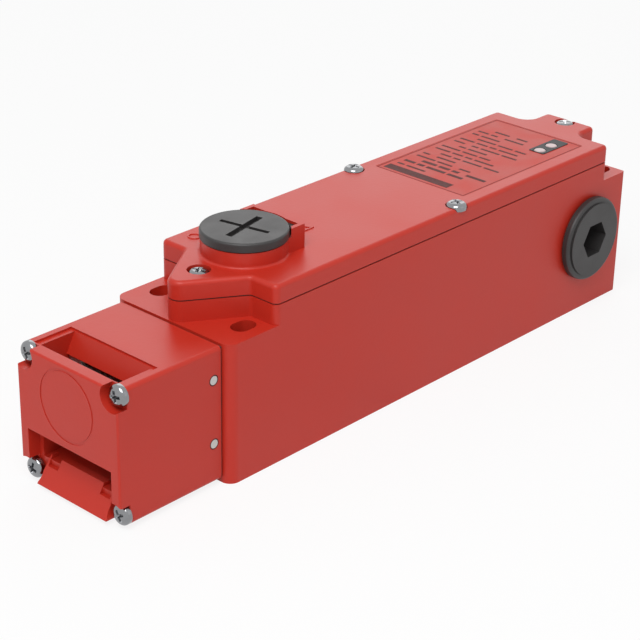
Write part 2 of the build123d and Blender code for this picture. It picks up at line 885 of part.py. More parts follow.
# Head screws
with BuildPart() as head_screws:
    round_bar_x((head_seat_x - screw_head_height, head_seat_x), head_screw_places, screw_head)
    head_crowns = head_screws.faces().filter_by(Axis.X).filter_by(lambda face: face.normal_at().X < 0)
    fillet(head_crowns.edges(), screw_head_round)
    head_screw_end = body_front_x + head_screw_reach - edge_break
    round_bar_x((head_seat_x, head_screw_end), head_screw_places, head_screw_shank)
save(head_screws, "head_screws")

# Cross pins that hold the cage in the head
with BuildPart() as head_cross_pins:
    round_bar_y(head_width / 2, cross_pin_places, cross_pin_radius)
save(head_cross_pins, "head_cross_pins")

# Cage of the rotor: a back plate with two cheeks
with BuildPart() as rotor_cage:
    block(
        (head_rear_x - cage_back, head_rear_x),
        (-cage_half, cage_half),
        (head_lift + head_cavity_low + cage_bottom_gap, head_lift + head_cavity_high - cage_bottom_gap),
    )
    for side in (-1, 1):
        cheek_span = sorted((side * (rotor_half + cage_cheek_gap), side * cage_half))
        block(
            (head_rear_x - cage_reach, head_rear_x - cage_back),
            cheek_span,
            (cage_cheek_low, head_lift + head_cavity_high - cage_bottom_gap),
        )
    round_bar_x((head_rear_x - cage_back, head_rear_x), [(0, axis_z)], cage_rod_hole, Mode.SUBTRACT)
    round_bar_y(cage_half, cross_pin_places, cross_pin_radius, Mode.SUBTRACT)
    round_bar_y(cage_half, [(rotor_x, axis_z)], axle_radius, Mode.SUBTRACT)
save(rotor_cage, "rotor_cage")

with BuildPart() as rotor_axle:
    round_bar_y(cage_half, [(rotor_x, axis_z)], axle_radius)
save(rotor_axle, "rotor_axle")


def around(radius, angle):
    """Point at a polar place about the rotor's axis, in the X and Z plane."""
    turn = math.radians(angle)
    return (rotor_x + radius * math.cos(turn), axis_z + radius * math.sin(turn))


def cam_point(angle):
    """Point of the cam that the plunger's round tip follows at a turn of the rotor."""
    rate = cam_stroke / math.radians(cam_turn)
    reach = cam_top + free_gap + tip_radius + rate * math.radians(angle)
    slant = math.hypot(reach, rate)
    inward = tip_radius + free_gap
    radial = reach - inward * reach / slant
    across = inward * rate / slant
    return around(math.hypot(radial, across), angle + math.degrees(math.atan2(across, radial)))


# Rotor: two notched discs with the plunger's cam between them
cam_low = cam_top - cam_stroke
cam_clear = rotor_radius + edge_break
spiral_steps = 8
with BuildPart() as rotor:
    with BuildSketch(Plane.XZ) as cam_face:
        with Locations((rotor_x, axis_z)):
            Circle(cam_top)
        with BuildSketch(Plane.XZ, mode=Mode.PRIVATE) as run_out:
            with BuildLine():
                turns = [-cam_turn * step / spiral_steps for step in range(spiral_steps + 1)]
                spiral = Spline(*[cam_point(turn) for turn in turns])
                low_point = around(cam_low, -cam_turn)
                low_centre = around(cam_low + tip_radius + free_gap, -cam_turn)
                RadiusArc(spiral @ 1, low_point, tip_radius + free_gap)
                ThreePointArc(
                    low_point,
                    around(cam_low, -(cam_turn + cam_dwell_end) / 2),
                    around(cam_low, -cam_dwell_end),
                )
                Line(around(cam_low, -cam_dwell_end), around(cam_clear, -cam_flank_end))
                ThreePointArc(
                    around(cam_clear, -cam_flank_end),
                    around(cam_clear, -cam_turn),
                    around(cam_clear, 0),
                )
                Line(around(cam_clear, 0), spiral @ 0)
            make_face()
        add(run_out.sketch, mode=Mode.SUBTRACT)
    extrude(amount=cam_half, both=True)
    with BuildSketch(Plane.XZ.offset(cam_half)):
        with Locations((rotor_x, axis_z)):
            Circle(rotor_radius)
        with Locations(around(notch_distance, front_notch_angle), around(notch_distance, top_notch_angle)):
            Circle(notch_radius, mode=Mode.SUBTRACT)
    extrude(amount=rotor_half - cam_half)
    mirror(about=Plane.XZ)
    round_bar_y(rotor_half, [(rotor_x, axis_z)], axle_radius + running_gap, Mode.SUBTRACT)
save(rotor, "rotor")

# Plunger rod: round tip, rod, grooved collar and stem, turned in one piece
collar_front_x = lock_pin_x - collar_front
collar_rear_x = lock_pin_x + collar_rear
stem_end_x = behind_lock(block_a_front + carrier_a_inset)
groove_front_x = lock_pin_x - groove_length / 2
with BuildPart() as plunger_rod:
    with BuildSketch(Plane.XZ):
        with BuildLine():
            RadiusArc((tip_rest_x - tip_radius, axis_z), (tip_rest_x, axis_z + tip_radius), tip_radius)
            Polyline(
                (tip_rest_x, axis_z + tip_radius),
                (tip_rest_x + tip_neck, axis_z + tip_radius),
                (tip_rest_x + tip_neck, axis_z + rod_radius),
                (collar_front_x, axis_z + rod_radius),
                (collar_front_x, axis_z + collar_radius),
                (groove_front_x, axis_z + collar_radius),
                (groove_front_x, axis_z + collar_radius - groove_depth),
                (groove_front_x + groove_length, axis_z + collar_radius - groove_depth),
                (groove_front_x + groove_length, axis_z + collar_radius),
                (groove_front_x + cam_stroke, axis_z + collar_radius),
                (groove_front_x + cam_stroke, axis_z + collar_radius - groove_depth),
                (groove_front_x + cam_stroke + groove_length, axis_z + collar_radius - groove_depth),
                (groove_front_x + cam_stroke + groove_length, axis_z + collar_radius),
                (collar_rear_x, axis_z + collar_radius),
                (collar_rear_x, axis_z + stem_radius),
                (stem_end_x, axis_z + stem_radius),
                (stem_end_x, axis_z),
                (tip_rest_x - tip_radius, axis_z),
            )
        make_face()
    revolve(axis=Axis((0, 0, axis_z), (1, 0, 0)))
save(plunger_rod, "plunger_rod")

# Bush of the rod, pressed into the body from inside
with BuildPart() as plunger_bush:
    round_bar_x((cavity_front_x - bush_length, cavity_front_x), [(0, axis_z)], bush_radius)
    round_bar_x((cavity_front_x, cavity_front_x + bush_flange_thickness), [(0, axis_z)], bush_flange)
    round_bar_x(
        (cavity_front_x - bush_length, cavity_front_x + bush_flange_thickness),
        [(0, axis_z)],
        rod_radius + running_gap,
        Mode.SUBTRACT,
    )
save(plunger_bush, "plunger_bush")


def coil_spring(name, x_span, centre_z, radius):
    """Open coil spring along X between two seats."""
    height = x_span[1] - x_span[0] - 2 * (wire_radius + running_gap)
    start = x_span[0] + wire_radius + running_gap
    with BuildPart() as spring:
        with BuildLine():
            pitch = height / spring_turns
            coil = Helix(pitch, height, radius, center=(start, 0, centre_z), direction=(1, 0, 0))
        with BuildSketch(Plane(origin=coil @ 0, z_dir=coil % 0)):
            Circle(wire_radius)
        sweep()
    save(spring, name)


coil_spring("plunger_spring", (collar_rear_x, spring_seat_x), axis_z, plunger_spring_radius)

# Lock pin and its follower pin
pin_bottom = axis_z + collar_radius + free_gap
with BuildPart() as lock_pin:
    round_bar_z((pin_bottom, pin_bottom + lock_pin_length), [(lock_pin_x, 0)], lock_pin_radius)
    round_bar_y(lock_pin_radius, [(lock_pin_x, follower_z)], follower_radius, Mode.SUBTRACT)
save(lock_pin, "lock_pin")

with BuildPart() as lock_follower:
    round_bar_y(follower_half, [(lock_pin_x, follower_z)], follower_radius)
save(lock_follower, "lock_follower")

# Lock slide: a web with two cheeks whose slanted slots drive the lock pin
slide_front_x = body_front_x + slide_front
web_top = slide_web_low + slide_web
with BuildPart() as lock_slide:
    block((slide_front_x, slide_rear_x), (-slide_half, slide_half), (slide_web_low, web_top))
    for side in (-1, 1):
        block(
            (body_front_x + cheek_front, slide_rear_x - slide_end_plate),
            sorted((side * cheek_inner, side * cheek_outer)),
            (cheek_low, slide_web_low),
        )
    end_span = (slide_rear_x - slide_end_plate, slide_rear_x)
    block(end_span, (-slide_half, slide_half), (cheek_low, slide_web_low))
    # slanted slots
    with BuildSketch(Plane.XZ):
        with Locations((lock_pin_x - lock_stroke / 2, follower_z - lock_stroke / 2)):
            SlotCenterToCenter(lock_stroke * math.sqrt(2), 2 * (follower_radius + running_gap), rotation=45)
    extrude(amount=cheek_outer, both=True, mode=Mode.SUBTRACT)
    # slot for the lock pin and window for the eccentric
    with BuildSketch(Plane.XY.offset(slide_web_low)):
        with Locations((lock_pin_x - lock_stroke / 2, 0)):
            SlotOverall(lock_stroke + 2 * (lock_pin_radius + free_gap), 2 * (lock_pin_radius + free_gap))
        window_front = disc_centre_x - eccentric_radius - lock_stroke - free_gap
        window_rear = disc_centre_x + eccentric_offset + eccentric_radius + 2 * free_gap
        window_half = eccentric_offset + eccentric_radius + free_gap
        with Locations(((window_front + window_rear) / 2, 0)):
            Rectangle(window_rear - window_front, 2 * window_half)
    extrude(amount=slide_web, mode=Mode.SUBTRACT)
save(lock_slide, "lock_slide")

# Sheet bracket over the lock: it guides the pin, the slide and the release shaft
with BuildPart() as lock_bracket:
    bracket_span = (body_front_x + bracket_front, body_front_x + bracket_rear)
    block(bracket_span, (-bracket_half, bracket_half), (bracket_low, bracket_low + bracket_thickness))
    for side in (-1, 1):
        block(
            bracket_span,
            sorted((side * (bracket_half - bracket_leg), side * bracket_half)),
            (floor_thickness, bracket_low),
        )
        for tab_x in (bracket_span[0], bracket_span[1] - bracket_tab_length):
            block(
                (tab_x, tab_x + bracket_tab_length),
                sorted((side * (slide_half + free_gap), side * (slide_half + free_gap + bracket_leg))),
                (bracket_low - bracket_tab_height, bracket_low),
            )
    sheet = (bracket_low, bracket_low + bracket_thickness)
    round_bar_z(sheet, [(lock_pin_x, 0)], lock_pin_radius + running_gap, Mode.SUBTRACT)
    round_bar_z(sheet, [(disc_centre_x, 0)], shaft_radius + 2 * running_gap, Mode.SUBTRACT)
save(lock_bracket, "lock_bracket")

# Solenoid yoke, open at both sides
with BuildPart() as solenoid_frame:
    block(
        (solenoid_front_x, solenoid_rear_x),
        (-solenoid_half, solenoid_half),
        (solenoid_low, solenoid_z + solenoid_window + solenoid_plate),
    )
    block(
        (solenoid_front_x + solenoid_plate, solenoid_rear_x - solenoid_plate),
        (-solenoid_half, solenoid_half),
        (solenoid_z - solenoid_window, solenoid_z + solenoid_window),
        Mode.SUBTRACT,
    )
    round_bar_x(
        (solenoid_front_x, solenoid_front_x + solenoid_plate),
        [(0, solenoid_z)],
        link_radius + free_gap,
        Mode.SUBTRACT,
    )
    rear_plate = (solenoid_rear_x - solenoid_plate, solenoid_rear_x)
    round_bar_x(rear_plate, [(0, solenoid_z)], core_radius, Mode.SUBTRACT)
save(solenoid_frame, "solenoid_frame")

# Bobbin, winding and fixed core
bobbin_bore = armature_radius + free_gap
bobbin_inset = solenoid_plate + running_gap
bobbin_span = (solenoid_front_x + bobbin_inset, solenoid_rear_x - bobbin_inset)
with BuildPart() as solenoid_bobbin:
    round_bar_x(bobbin_span, [(0, solenoid_z)], bobbin_bore + bobbin_wall)
    round_bar_x((bobbin_span[0], bobbin_span[0] + bobbin_flange_thickness), [(0, solenoid_z)], bobbin_flange)
    round_bar_x((bobbin_span[1] - bobbin_flange_thickness, bobbin_span[1]), [(0, solenoid_z)], bobbin_flange)
    round_bar_x(bobbin_span, [(0, solenoid_z)], bobbin_bore, Mode.SUBTRACT)
save(solenoid_bobbin, "solenoid_bobbin")

with BuildPart() as solenoid_winding:
    winding_span = (bobbin_span[0] + bobbin_flange_thickness, bobbin_span[1] - bobbin_flange_thickness)
    round_bar_x(winding_span, [(0, solenoid_z)], winding_radius)
    round_bar_x(winding_span, [(0, solenoid_z)], bobbin_bore + bobbin_wall, Mode.SUBTRACT)
save(solenoid_winding, "solenoid_winding")

with BuildPart() as solenoid_core:
    core_span = (armature_end_x + lock_stroke + free_gap, solenoid_rear_x)
    round_bar_x(core_span, [(0, solenoid_z)], core_radius)
    round_bar_x(core_span, [(0, solenoid_z)], tail_bore, Mode.SUBTRACT)
save(solenoid_core, "solenoid_core")

# Armature with its link to the slide, spring collar and tail rod
with BuildPart() as armature:
    round_bar_x((slide_rear_x, armature_front_x), [(0, solenoid_z)], link_radius)
    round_bar_x((armature_front_x, armature_end_x), [(0, solenoid_z)], armature_radius)
    round_bar_x((armature_end_x, carrier_b_x), [(0, solenoid_z)], tail_radius)
    round_bar_x(
        (spring_collar_x - spring_collar_thickness, spring_collar_x), [(0, solenoid_z)], spring_collar_radius
    )
save(armature, "armature")

coil_spring("armature_spring", (spring_collar_x, solenoid_front_x), solenoid_z, armature_spring_radius)


def contact_set(suffix, front, length, bars, centre_z, stroke, sides, carrier_inset, carrier_length):
    """Contact block with its moving carrier, its contact bars and its fixed contacts."""
    front_x = behind_lock(front)
    rear_x = behind_lock(front + length)
    top = centre_z + block_rise
    half_bar = bar_thickness / 2
    chambers = []
    contacts = []
    for bar, side in zip(bars, sides):
        bar_x = behind_lock(bar)
        low = min(bar_x, bar_x + stroke) - half_bar - free_gap
        high = max(bar_x, bar_x + stroke) + half_bar + free_gap
        if side < 0:
            contacts.append((low - bar_thickness, low))
            chambers.append((low - bar_thickness, high))
        else:
            contacts.append((high, high + bar_thickness))
            chambers.append((low, high + bar_thickness))
    screws = []
    tabs = []
    for (contact_low, contact_high), side in zip(contacts, sides):
        if side < 0:
            tabs.append((contact_low, contact_low + contact_tab))
            screw_x = contact_low + terminal_inset
        else:
            tabs.append((contact_high - contact_tab, contact_high))
            screw_x = contact_high - terminal_inset
        middle = (contact_inner + contact_outer) / 2
        screws.extend([(screw_x, middle), (screw_x, -middle)])

    with BuildPart() as housing:
        block((front_x, rear_x), (-block_half, block_half), (floor_thickness, top))
        channel_y = carrier_half_y + channel_gap
        channel_z = carrier_half_z + channel_gap
        block(
            (front_x, rear_x),
            (-channel_y, channel_y),
            (centre_z - channel_z, centre_z + channel_z),
            Mode.SUBTRACT,
        )
        for chamber in chambers:
            block(
                chamber,
                (-chamber_half, chamber_half),
                (centre_z - channel_z, centre_z + channel_z),
                Mode.SUBTRACT,
            )
        for contact in contacts:
            for side in (-1, 1):
                block(
                    (contact[0], contact[1]),
                    sorted((side * contact_inner, side * contact_outer)),
                    (centre_z, top),
                    Mode.SUBTRACT,
                )
        round_bar_z((top - terminal_depth, top), screws, terminal_shank, Mode.SUBTRACT)
    save(housing, f"contact_block_{suffix}")

    with BuildPart() as carrier:
        block(
            (behind_lock(front + carrier_inset), behind_lock(front + carrier_inset + carrier_length)),
            (-carrier_half_y, carrier_half_y),
            (centre_z - carrier_half_z, centre_z + carrier_half_z),
        )
        for bar in bars:
            block(
                (behind_lock(bar) - half_bar, behind_lock(bar) + half_bar),
                (-carrier_half_y, carrier_half_y),
                (centre_z - bar_height / 2, centre_z + bar_height / 2),
                Mode.SUBTRACT,
            )
    save(carrier, f"contact_carrier_{suffix}")

    with BuildPart() as bridges:
        for bar in bars:
            block(
                (behind_lock(bar) - half_bar, behind_lock(bar) + half_bar),
                (-bar_half, bar_half),
                (centre_z - bar_height / 2, centre_z + bar_height / 2),
            )
    save(bridges, f"contact_bridges_{suffix}")

    with BuildPart() as fixed:
        for contact, tab in zip(contacts, tabs):
            for side in (-1, 1):
                across = sorted((side * contact_inner, side * contact_outer))
                block(contact, across, (centre_z - contact_drop, top))
                block(tab, across, (top, top + bar_thickness))
        round_bar_z((top, top + bar_thickness), screws, terminal_shank, Mode.SUBTRACT)
    save(fixed, f"fixed_contacts_{suffix}")

    with BuildPart() as terminals:
        round_bar_z((top - terminal_depth, top + bar_thickness), screws, terminal_shank)
        round_bar_z(
            (top + bar_thickness, top + bar_thickness + terminal_head_height), screws, terminal_head
        )
    save(terminals, f"terminal_screws_{suffix}")


contact_set(
    "a",
    block_a_front,
    block_a_length,
    block_a_bars,
    axis_z,
    -cam_stroke,
    (-1, 1),
    carrier_a_inset,
    carrier_a_length,
)
contact_set(
    "b",
    block_b_front,
    block_b_length,
    block_b_bars,
    solenoid_z,
    lock_stroke,
    (1, -1),
    carrier_b_inset,
    carrier_b_length,
)

# Earth screw
with BuildPart() as earth_screw:
    round_bar_z((floor_thickness, earth_seat), [earth_centre], screw_shank)
    round_bar_z((earth_seat, earth_seat + earth_head_height), [earth_centre], earth_head)
save(earth_screw, "earth_screw")
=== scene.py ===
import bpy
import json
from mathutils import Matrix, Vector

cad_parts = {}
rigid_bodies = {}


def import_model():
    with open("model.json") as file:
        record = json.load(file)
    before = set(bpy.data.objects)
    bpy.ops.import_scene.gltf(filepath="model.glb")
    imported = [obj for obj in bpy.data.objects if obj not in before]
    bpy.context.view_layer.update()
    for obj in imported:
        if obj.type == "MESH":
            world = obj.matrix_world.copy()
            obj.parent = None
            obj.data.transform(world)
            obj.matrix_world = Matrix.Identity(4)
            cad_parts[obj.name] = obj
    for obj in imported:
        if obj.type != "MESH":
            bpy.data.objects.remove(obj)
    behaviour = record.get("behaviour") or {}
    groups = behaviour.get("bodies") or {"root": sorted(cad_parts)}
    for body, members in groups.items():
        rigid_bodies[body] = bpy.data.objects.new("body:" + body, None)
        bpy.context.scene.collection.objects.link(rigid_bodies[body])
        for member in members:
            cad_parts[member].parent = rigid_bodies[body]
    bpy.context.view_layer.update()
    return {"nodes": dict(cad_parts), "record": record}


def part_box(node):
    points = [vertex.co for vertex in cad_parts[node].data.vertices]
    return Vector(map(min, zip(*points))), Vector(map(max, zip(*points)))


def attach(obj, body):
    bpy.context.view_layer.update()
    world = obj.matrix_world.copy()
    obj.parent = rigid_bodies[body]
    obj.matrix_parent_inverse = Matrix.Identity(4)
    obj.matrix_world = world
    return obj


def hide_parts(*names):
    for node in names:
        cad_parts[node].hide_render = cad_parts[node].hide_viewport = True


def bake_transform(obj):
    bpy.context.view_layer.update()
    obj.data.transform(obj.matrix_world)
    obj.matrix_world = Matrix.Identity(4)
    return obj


bl_info = {
    "name": "Tongue interlock switch",
    "version": (1, 0, 0),
    "blender": (4, 5, 0),
    "location": "View3D > Sidebar > Interlock",
    "description": "Finishes, screws, label and studio for a tongue interlock switch",
    "category": "Object",
}

import bpy
import json
import math
from mathutils import Matrix, Vector

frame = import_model()

MM = 0.001
NODES = frame["nodes"]
LABEL_SINK = 0.05 * MM                 # the label lies this far below the lid's top
LID_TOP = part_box("label_plate")[1].z + LABEL_SINK

# Modelling
SMOOTH_ANGLE = math.radians(35)        # sharper edges than this stay hard
MERGE_DISTANCE = 1e-6                  # doubled corners of a CAD mesh lie closer than this
FLAT = 0.9                             # a normal with this much Z faces up or down
CENTRED = 1e-6                         # a face this near to the Z axis lies on it

# Screws, where a share is of the head's radius or height
HEAD_SIDES = 48
RIM_SHARE = 0.4                        # height of the straight rim below the crown
CROWN_SHARE = 0.62                     # radius that the crown covers
CROWN_STEPS = 8
RECESS_FLOOR = (0.45, 0.6, 1)          # a recess narrows to this at its floor
EDGE_ROUNDING = 0.06 * MM
EDGE_ANGLE = math.radians(40)
LID_SHANK = 1.2 * MM                   # radius
HEAD_SHANK = 1.4 * MM
LID_SCREW_TURNS = (22, 64, 10, 38)     # degrees, so that no two recesses stand alike
HEAD_SCREW_TURNS = (30, 12, 75, 20)

# Label print
FIRST_ROW = 0.6                        # first row behind the title, in row pitches
BOLD_ROWS = (1, 2)
BOLD_SHARE = 1.5                       # height of a bold row, in row heights
ROW_MARGIN = 1.5                       # label's edge to the rows, in title insets
ROW_INDENT = 2.5                       # added at each third row
SHORT_WORD = 0.6                       # shortest bar, in word lengths
WORD_STEP = 0.35                       # from one bar length to the next

# Lid marks and the painted shade round the pins
POINTER_SHIFT = -0.5 * MM              # off the disc's middle, along Y
RING_SPOT = (-2.6 * MM, 4.3 * MM)      # from the disc's middle in X and its edge in Y
RING_RADIUS = 0.5                      # share of the mark's size
RING_LINE = 0.6                        # share of the mark's line
SHADE_RING_DEPTH = 0.35                      # share of the painted shade ring that lies inside the wall

# Studio, in metres
FLOOR_SIZE = 12
FLOOR_GREY = (0.86, 0.86, 0.86, 1)
FLOOR_GLOW = 0.85                      # share of white in what the camera sees of the floor
WHITE = (1, 1, 1, 1)
LAMPS = (                              # setting, place and width
    ("key", (-0.45, -0.25, 0.75), 0.55),
    ("fill", (0.25, -0.75, 0.35), 0.6),
    ("back", (0.62, 0.50, 0.46), 0.7),
)
LAMP_AIM = (0, 0, 0.02)
SENSOR_WIDTH = 36                      # millimetres
CAMERA_NEAR = 0.01


# Small helpers for edit-mode work

def deselect():
    """Leave edit mode and deselect every object."""
    if bpy.context.mode != "OBJECT":
        bpy.ops.object.mode_set(mode="OBJECT")
    bpy.ops.object.select_all(action="DESELECT")


def activate(piece):
    """Make one object the only selected one."""
    deselect()
    piece.select_set(True)
    bpy.context.view_layer.objects.active = piece


def place(piece, matrix):
    """Put a finished piece in its place, with the place in its mesh."""
    piece.data.transform(piece.matrix_world)
    piece.matrix_world = Matrix.Identity(4)
    piece.data.transform(matrix)
    piece.data.update()


def finish_piece(piece, name, material, body):
    """Name, colour and shade a piece, and let it ride on its body."""
    activate(piece)
    bpy.ops.object.transform_apply(location=True, rotation=True, scale=True)
    bpy.ops.object.shade_smooth_by_angle(angle=SMOOTH_ANGLE)
    piece.name = name
    piece.data.name = name
    piece.data.materials.clear()
    piece.data.materials.append(material)
    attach(piece, body)
    return piece


def merged_copy(node):
    """A copy of a CAD node with its doubled corners merged, left in edit mode."""
    twin = NODES[node].copy()
    twin.data = NODES[node].data.copy()
    bpy.context.scene.collection.objects.link(twin)
    twin.parent = None
    twin.matrix_world = Matrix.Identity(4)
    activate(twin)
    bpy.ops.object.mode_set(mode="EDIT")
    bpy.ops.mesh.select_all(action="SELECT")
    bpy.ops.mesh.remove_doubles(threshold=MERGE_DISTANCE)
    return twin


def islands(node):
    """Low and high corners of each loose part of a CAD node."""
    merged_copy(node)
    bpy.ops.mesh.separate(type="LOOSE")
    bpy.ops.object.mode_set(mode="OBJECT")
    found = []
    for part in list(bpy.context.selected_objects):
        corners = [vertex.co for vertex in part.data.vertices]
        low = Vector(min(corner[axis] for corner in corners) for axis in range(3))
        high = Vector(max(corner[axis] for corner in corners) for axis in range(3))
        found.append((low, high))
        bpy.data.objects.remove(part)
    return sorted(found, key=lambda span: tuple(round(value, 5) for value in span[0]))


def join(pieces):
    """Join several objects into the first."""
    deselect()
    for piece in pieces:
        piece.select_set(True)
    bpy.context.view_layer.objects.active = pieces[0]
    bpy.ops.object.join()
    return bpy.context.view_layer.objects.active


def pick_faces(piece, test):
    """Select the faces whose centre and normal pass a test, in edit mode."""
    bpy.ops.mesh.select_all(action="DESELECT")
    bpy.ops.object.mode_set(mode="OBJECT")
    for face in piece.data.polygons:
        face.select = test(face.center, face.normal)
    bpy.ops.object.mode_set(mode="EDIT")
    bpy.ops.mesh.select_mode(type="FACE")


def cut_away(piece, cutter):
    """Cut one object out of another with an applied boolean."""
    activate(piece)
    cut = piece.modifiers.new("cut", "BOOLEAN")
    cut.operation = "DIFFERENCE"
    cut.solver = "EXACT"
    cut.object = cutter
    bpy.ops.object.modifier_apply(modifier=cut.name)
    bpy.data.objects.remove(cutter)


# Materials

def surface(name, colour, roughness, metallic=0.0, specular=0.5):
    """Start a material: its node tree, its shader and its object coordinates."""
    material = bpy.data.materials.new(name)
    material.use_nodes = True
    tree = material.node_tree
    shader = tree.nodes["Principled BSDF"]
    shader.inputs["Base Color"].default_value = (*colour, 1)
    shader.inputs["Roughness"].default_value = roughness
    shader.inputs["Metallic"].default_value = metallic
    shader.inputs["Specular IOR Level"].default_value = specular
    coords = tree.nodes.new("ShaderNodeTexCoord")
    return material, tree, shader, coords.outputs["Object"]


def noise(tree, coords, scale, detail):
    """Noise on object coordinates."""
    node = tree.nodes.new("ShaderNodeTexNoise")
    node.inputs["Scale"].default_value = scale
    node.inputs["Detail"].default_value = detail
    tree.links.new(coords, node.inputs["Vector"])
    return node.outputs["Fac"]


def spread(tree, value, low, high):
    """Map the middle of a noise's range to a range."""
    node = tree.nodes.new("ShaderNodeMapRange")
    node.inputs["From Min"].default_value = 0.3
    node.inputs["From Max"].default_value = 0.7
    node.inputs["To Min"].default_value = low
    node.inputs["To Max"].default_value = high
    tree.links.new(value, node.inputs["Value"])
    return node.outputs["Result"]


def tint(tree, value, first, second, target):
    """Blend two colours by a value, into a socket."""
    node = tree.nodes.new("ShaderNodeMix")
    node.data_type = "RGBA"
    node.inputs[6].default_value = (*first, 1)
    node.inputs[7].default_value = (*second, 1)
    tree.links.new(value, node.inputs["Factor"])
    tree.links.new(node.outputs[2], target)


def relief(tree, shader, height, distance, strength, after=None):
    """Bump a shader's normal by a height, on top of an earlier bump if there is one."""
    node = tree.nodes.new("ShaderNodeBump")
    node.inputs["Strength"].default_value = strength
    node.inputs["Distance"].default_value = distance
    tree.links.new(height, node.inputs["Height"])
    if after is not None:
        tree.links.new(after, node.inputs["Normal"])
    tree.links.new(node.outputs["Normal"], shader.inputs["Normal"])
    return node.outputs["Normal"]


def arithmetic(tree, operation, first, second):
    """Result of a math node on two sockets, or on a socket and a number."""
    node = tree.nodes.new("ShaderNodeMath")
    node.operation = operation
    tree.links.new(first, node.inputs[0])
    if isinstance(second, float):
        node.inputs[1].default_value = second
    else:
        tree.links.new(second, node.inputs[1])
    return node.outputs[0]


def shade(colour, factor):
    """A colour made lighter or darker."""
    return tuple(channel * factor for channel in colour)


def powder_coat(name, colour):
    """Satin powder coat: soft orange peel, a little unevenness in gloss and tone."""
    material, tree, shader, coords = surface(name, colour, roughness=0.38, specular=0.34)
    peel = noise(tree, coords, scale=900, detail=2)
    grain = noise(tree, coords, scale=5200, detail=2)
    cloud = noise(tree, coords, scale=38, detail=3)
    tint(tree, cloud, shade(colour, 0.95), shade(colour, 1.04), shader.inputs["Base Color"])
    tree.links.new(spread(tree, cloud, 0.35, 0.42), shader.inputs["Roughness"])
    first = relief(tree, shader, peel, distance=0.00004, strength=0.5)
    relief(tree, shader, grain, distance=0.000006, strength=0.5, after=first)
    return material


def moulded_plastic(name, colour, roughness, grain_scale=2600, specular=0.5):
    """Moulded plastic with a fine spark-eroded grain."""
    material, tree, shader, coords = surface(name, colour, roughness, specular=specular)
    grain = noise(tree, coords, grain_scale, detail=3)
    cloud = noise(tree, coords, scale=120, detail=3)
    tint(tree, cloud, shade(colour, 0.85), shade(colour, 1.15), shader.inputs["Base Color"])
    gloss = spread(tree, cloud, roughness - 0.05, roughness + 0.06)
    tree.links.new(gloss, shader.inputs["Roughness"])
    relief(tree, shader, grain, distance=0.00002, strength=0.7)
    return material


def plated_metal(name, colour, roughness, scale=700):
    """Plated or turned metal with faint marks and a slightly uneven gloss."""
    material, tree, shader, coords = surface(name, colour, roughness, metallic=1.0)
    marks = noise(tree, coords, scale, detail=4)
    tint(tree, marks, shade(colour, 0.88), shade(colour, 1.08), shader.inputs["Base Color"])
    gloss = spread(tree, marks, roughness * 0.75, roughness * 1.35)
    tree.links.new(gloss, shader.inputs["Roughness"])
    relief(tree, shader, marks, distance=0.00001, strength=0.5)
    return material


def drawn_metal(name, colour, roughness, axis):
    """Metal with fine lines along one axis, as turned, drawn or rolled."""
    material, tree, shader, coords = surface(name, colour, roughness, metallic=1.0)
    stretch = tree.nodes.new("ShaderNodeMapping")
    scales = tuple(0.03 if axis == which else 1.0 for which in "XYZ")
    stretch.inputs["Scale"].default_value = scales
    tree.links.new(coords, stretch.inputs["Vector"])
    lines = noise(tree, stretch.outputs["Vector"], scale=2400, detail=3)
    tint(tree, lines, shade(colour, 0.85), shade(colour, 1.1), shader.inputs["Base Color"])
    gloss = spread(tree, lines, roughness * 0.8, roughness * 1.3)
    tree.links.new(gloss, shader.inputs["Roughness"])
    relief(tree, shader, lines, distance=0.00001, strength=0.6)
    return material


def rubber(name, colour):
    """Matt rubber."""
    material, tree, shader, coords = surface(name, colour, roughness=0.75)
    grain = noise(tree, coords, scale=1800, detail=4)
    tint(tree, grain, shade(colour, 0.8), shade(colour, 1.3), shader.inputs["Base Color"])
    relief(tree, shader, grain, distance=0.00003, strength=0.6)
    return material


def wound_wire(name, colour):
    """Enamelled winding: the turns lie side by side along X, with painted shade between them and
    a painted highlight along each.
    """
    material, tree, shader, coords = surface(name, colour, roughness=0.3, metallic=1.0)
    wave = tree.nodes.new("ShaderNodeTexWave")
    wave.wave_type = "BANDS"
    wave.bands_direction = "X"
    wave.inputs["Scale"].default_value = 900
    wave.inputs["Distortion"].default_value = 0.4
    tree.links.new(coords, wave.inputs["Vector"])
    turns = wave.outputs["Fac"]
    # the colour runs from half to 1.2 times across each turn: painted shade in the creases
    # between turns and a painted highlight on their crowns
    tint(tree, turns, shade(colour, 0.5), shade(colour, 1.2), shader.inputs["Base Color"])
    relief(tree, shader, turns, distance=0.0001, strength=0.8)
    return material


def print_ink(name, colour):
    """Matt printed ink, slightly uneven."""
    material, tree, shader, coords = surface(name, colour, roughness=0.6, specular=0.12)
    patch = noise(tree, coords, scale=1500, detail=3)
    tint(tree, patch, shade(colour, 0.8), shade(colour, 1.25), shader.inputs["Base Color"])
    tree.links.new(spread(tree, patch, 0.48, 0.62), shader.inputs["Roughness"])
    return material


MATERIALS = {}


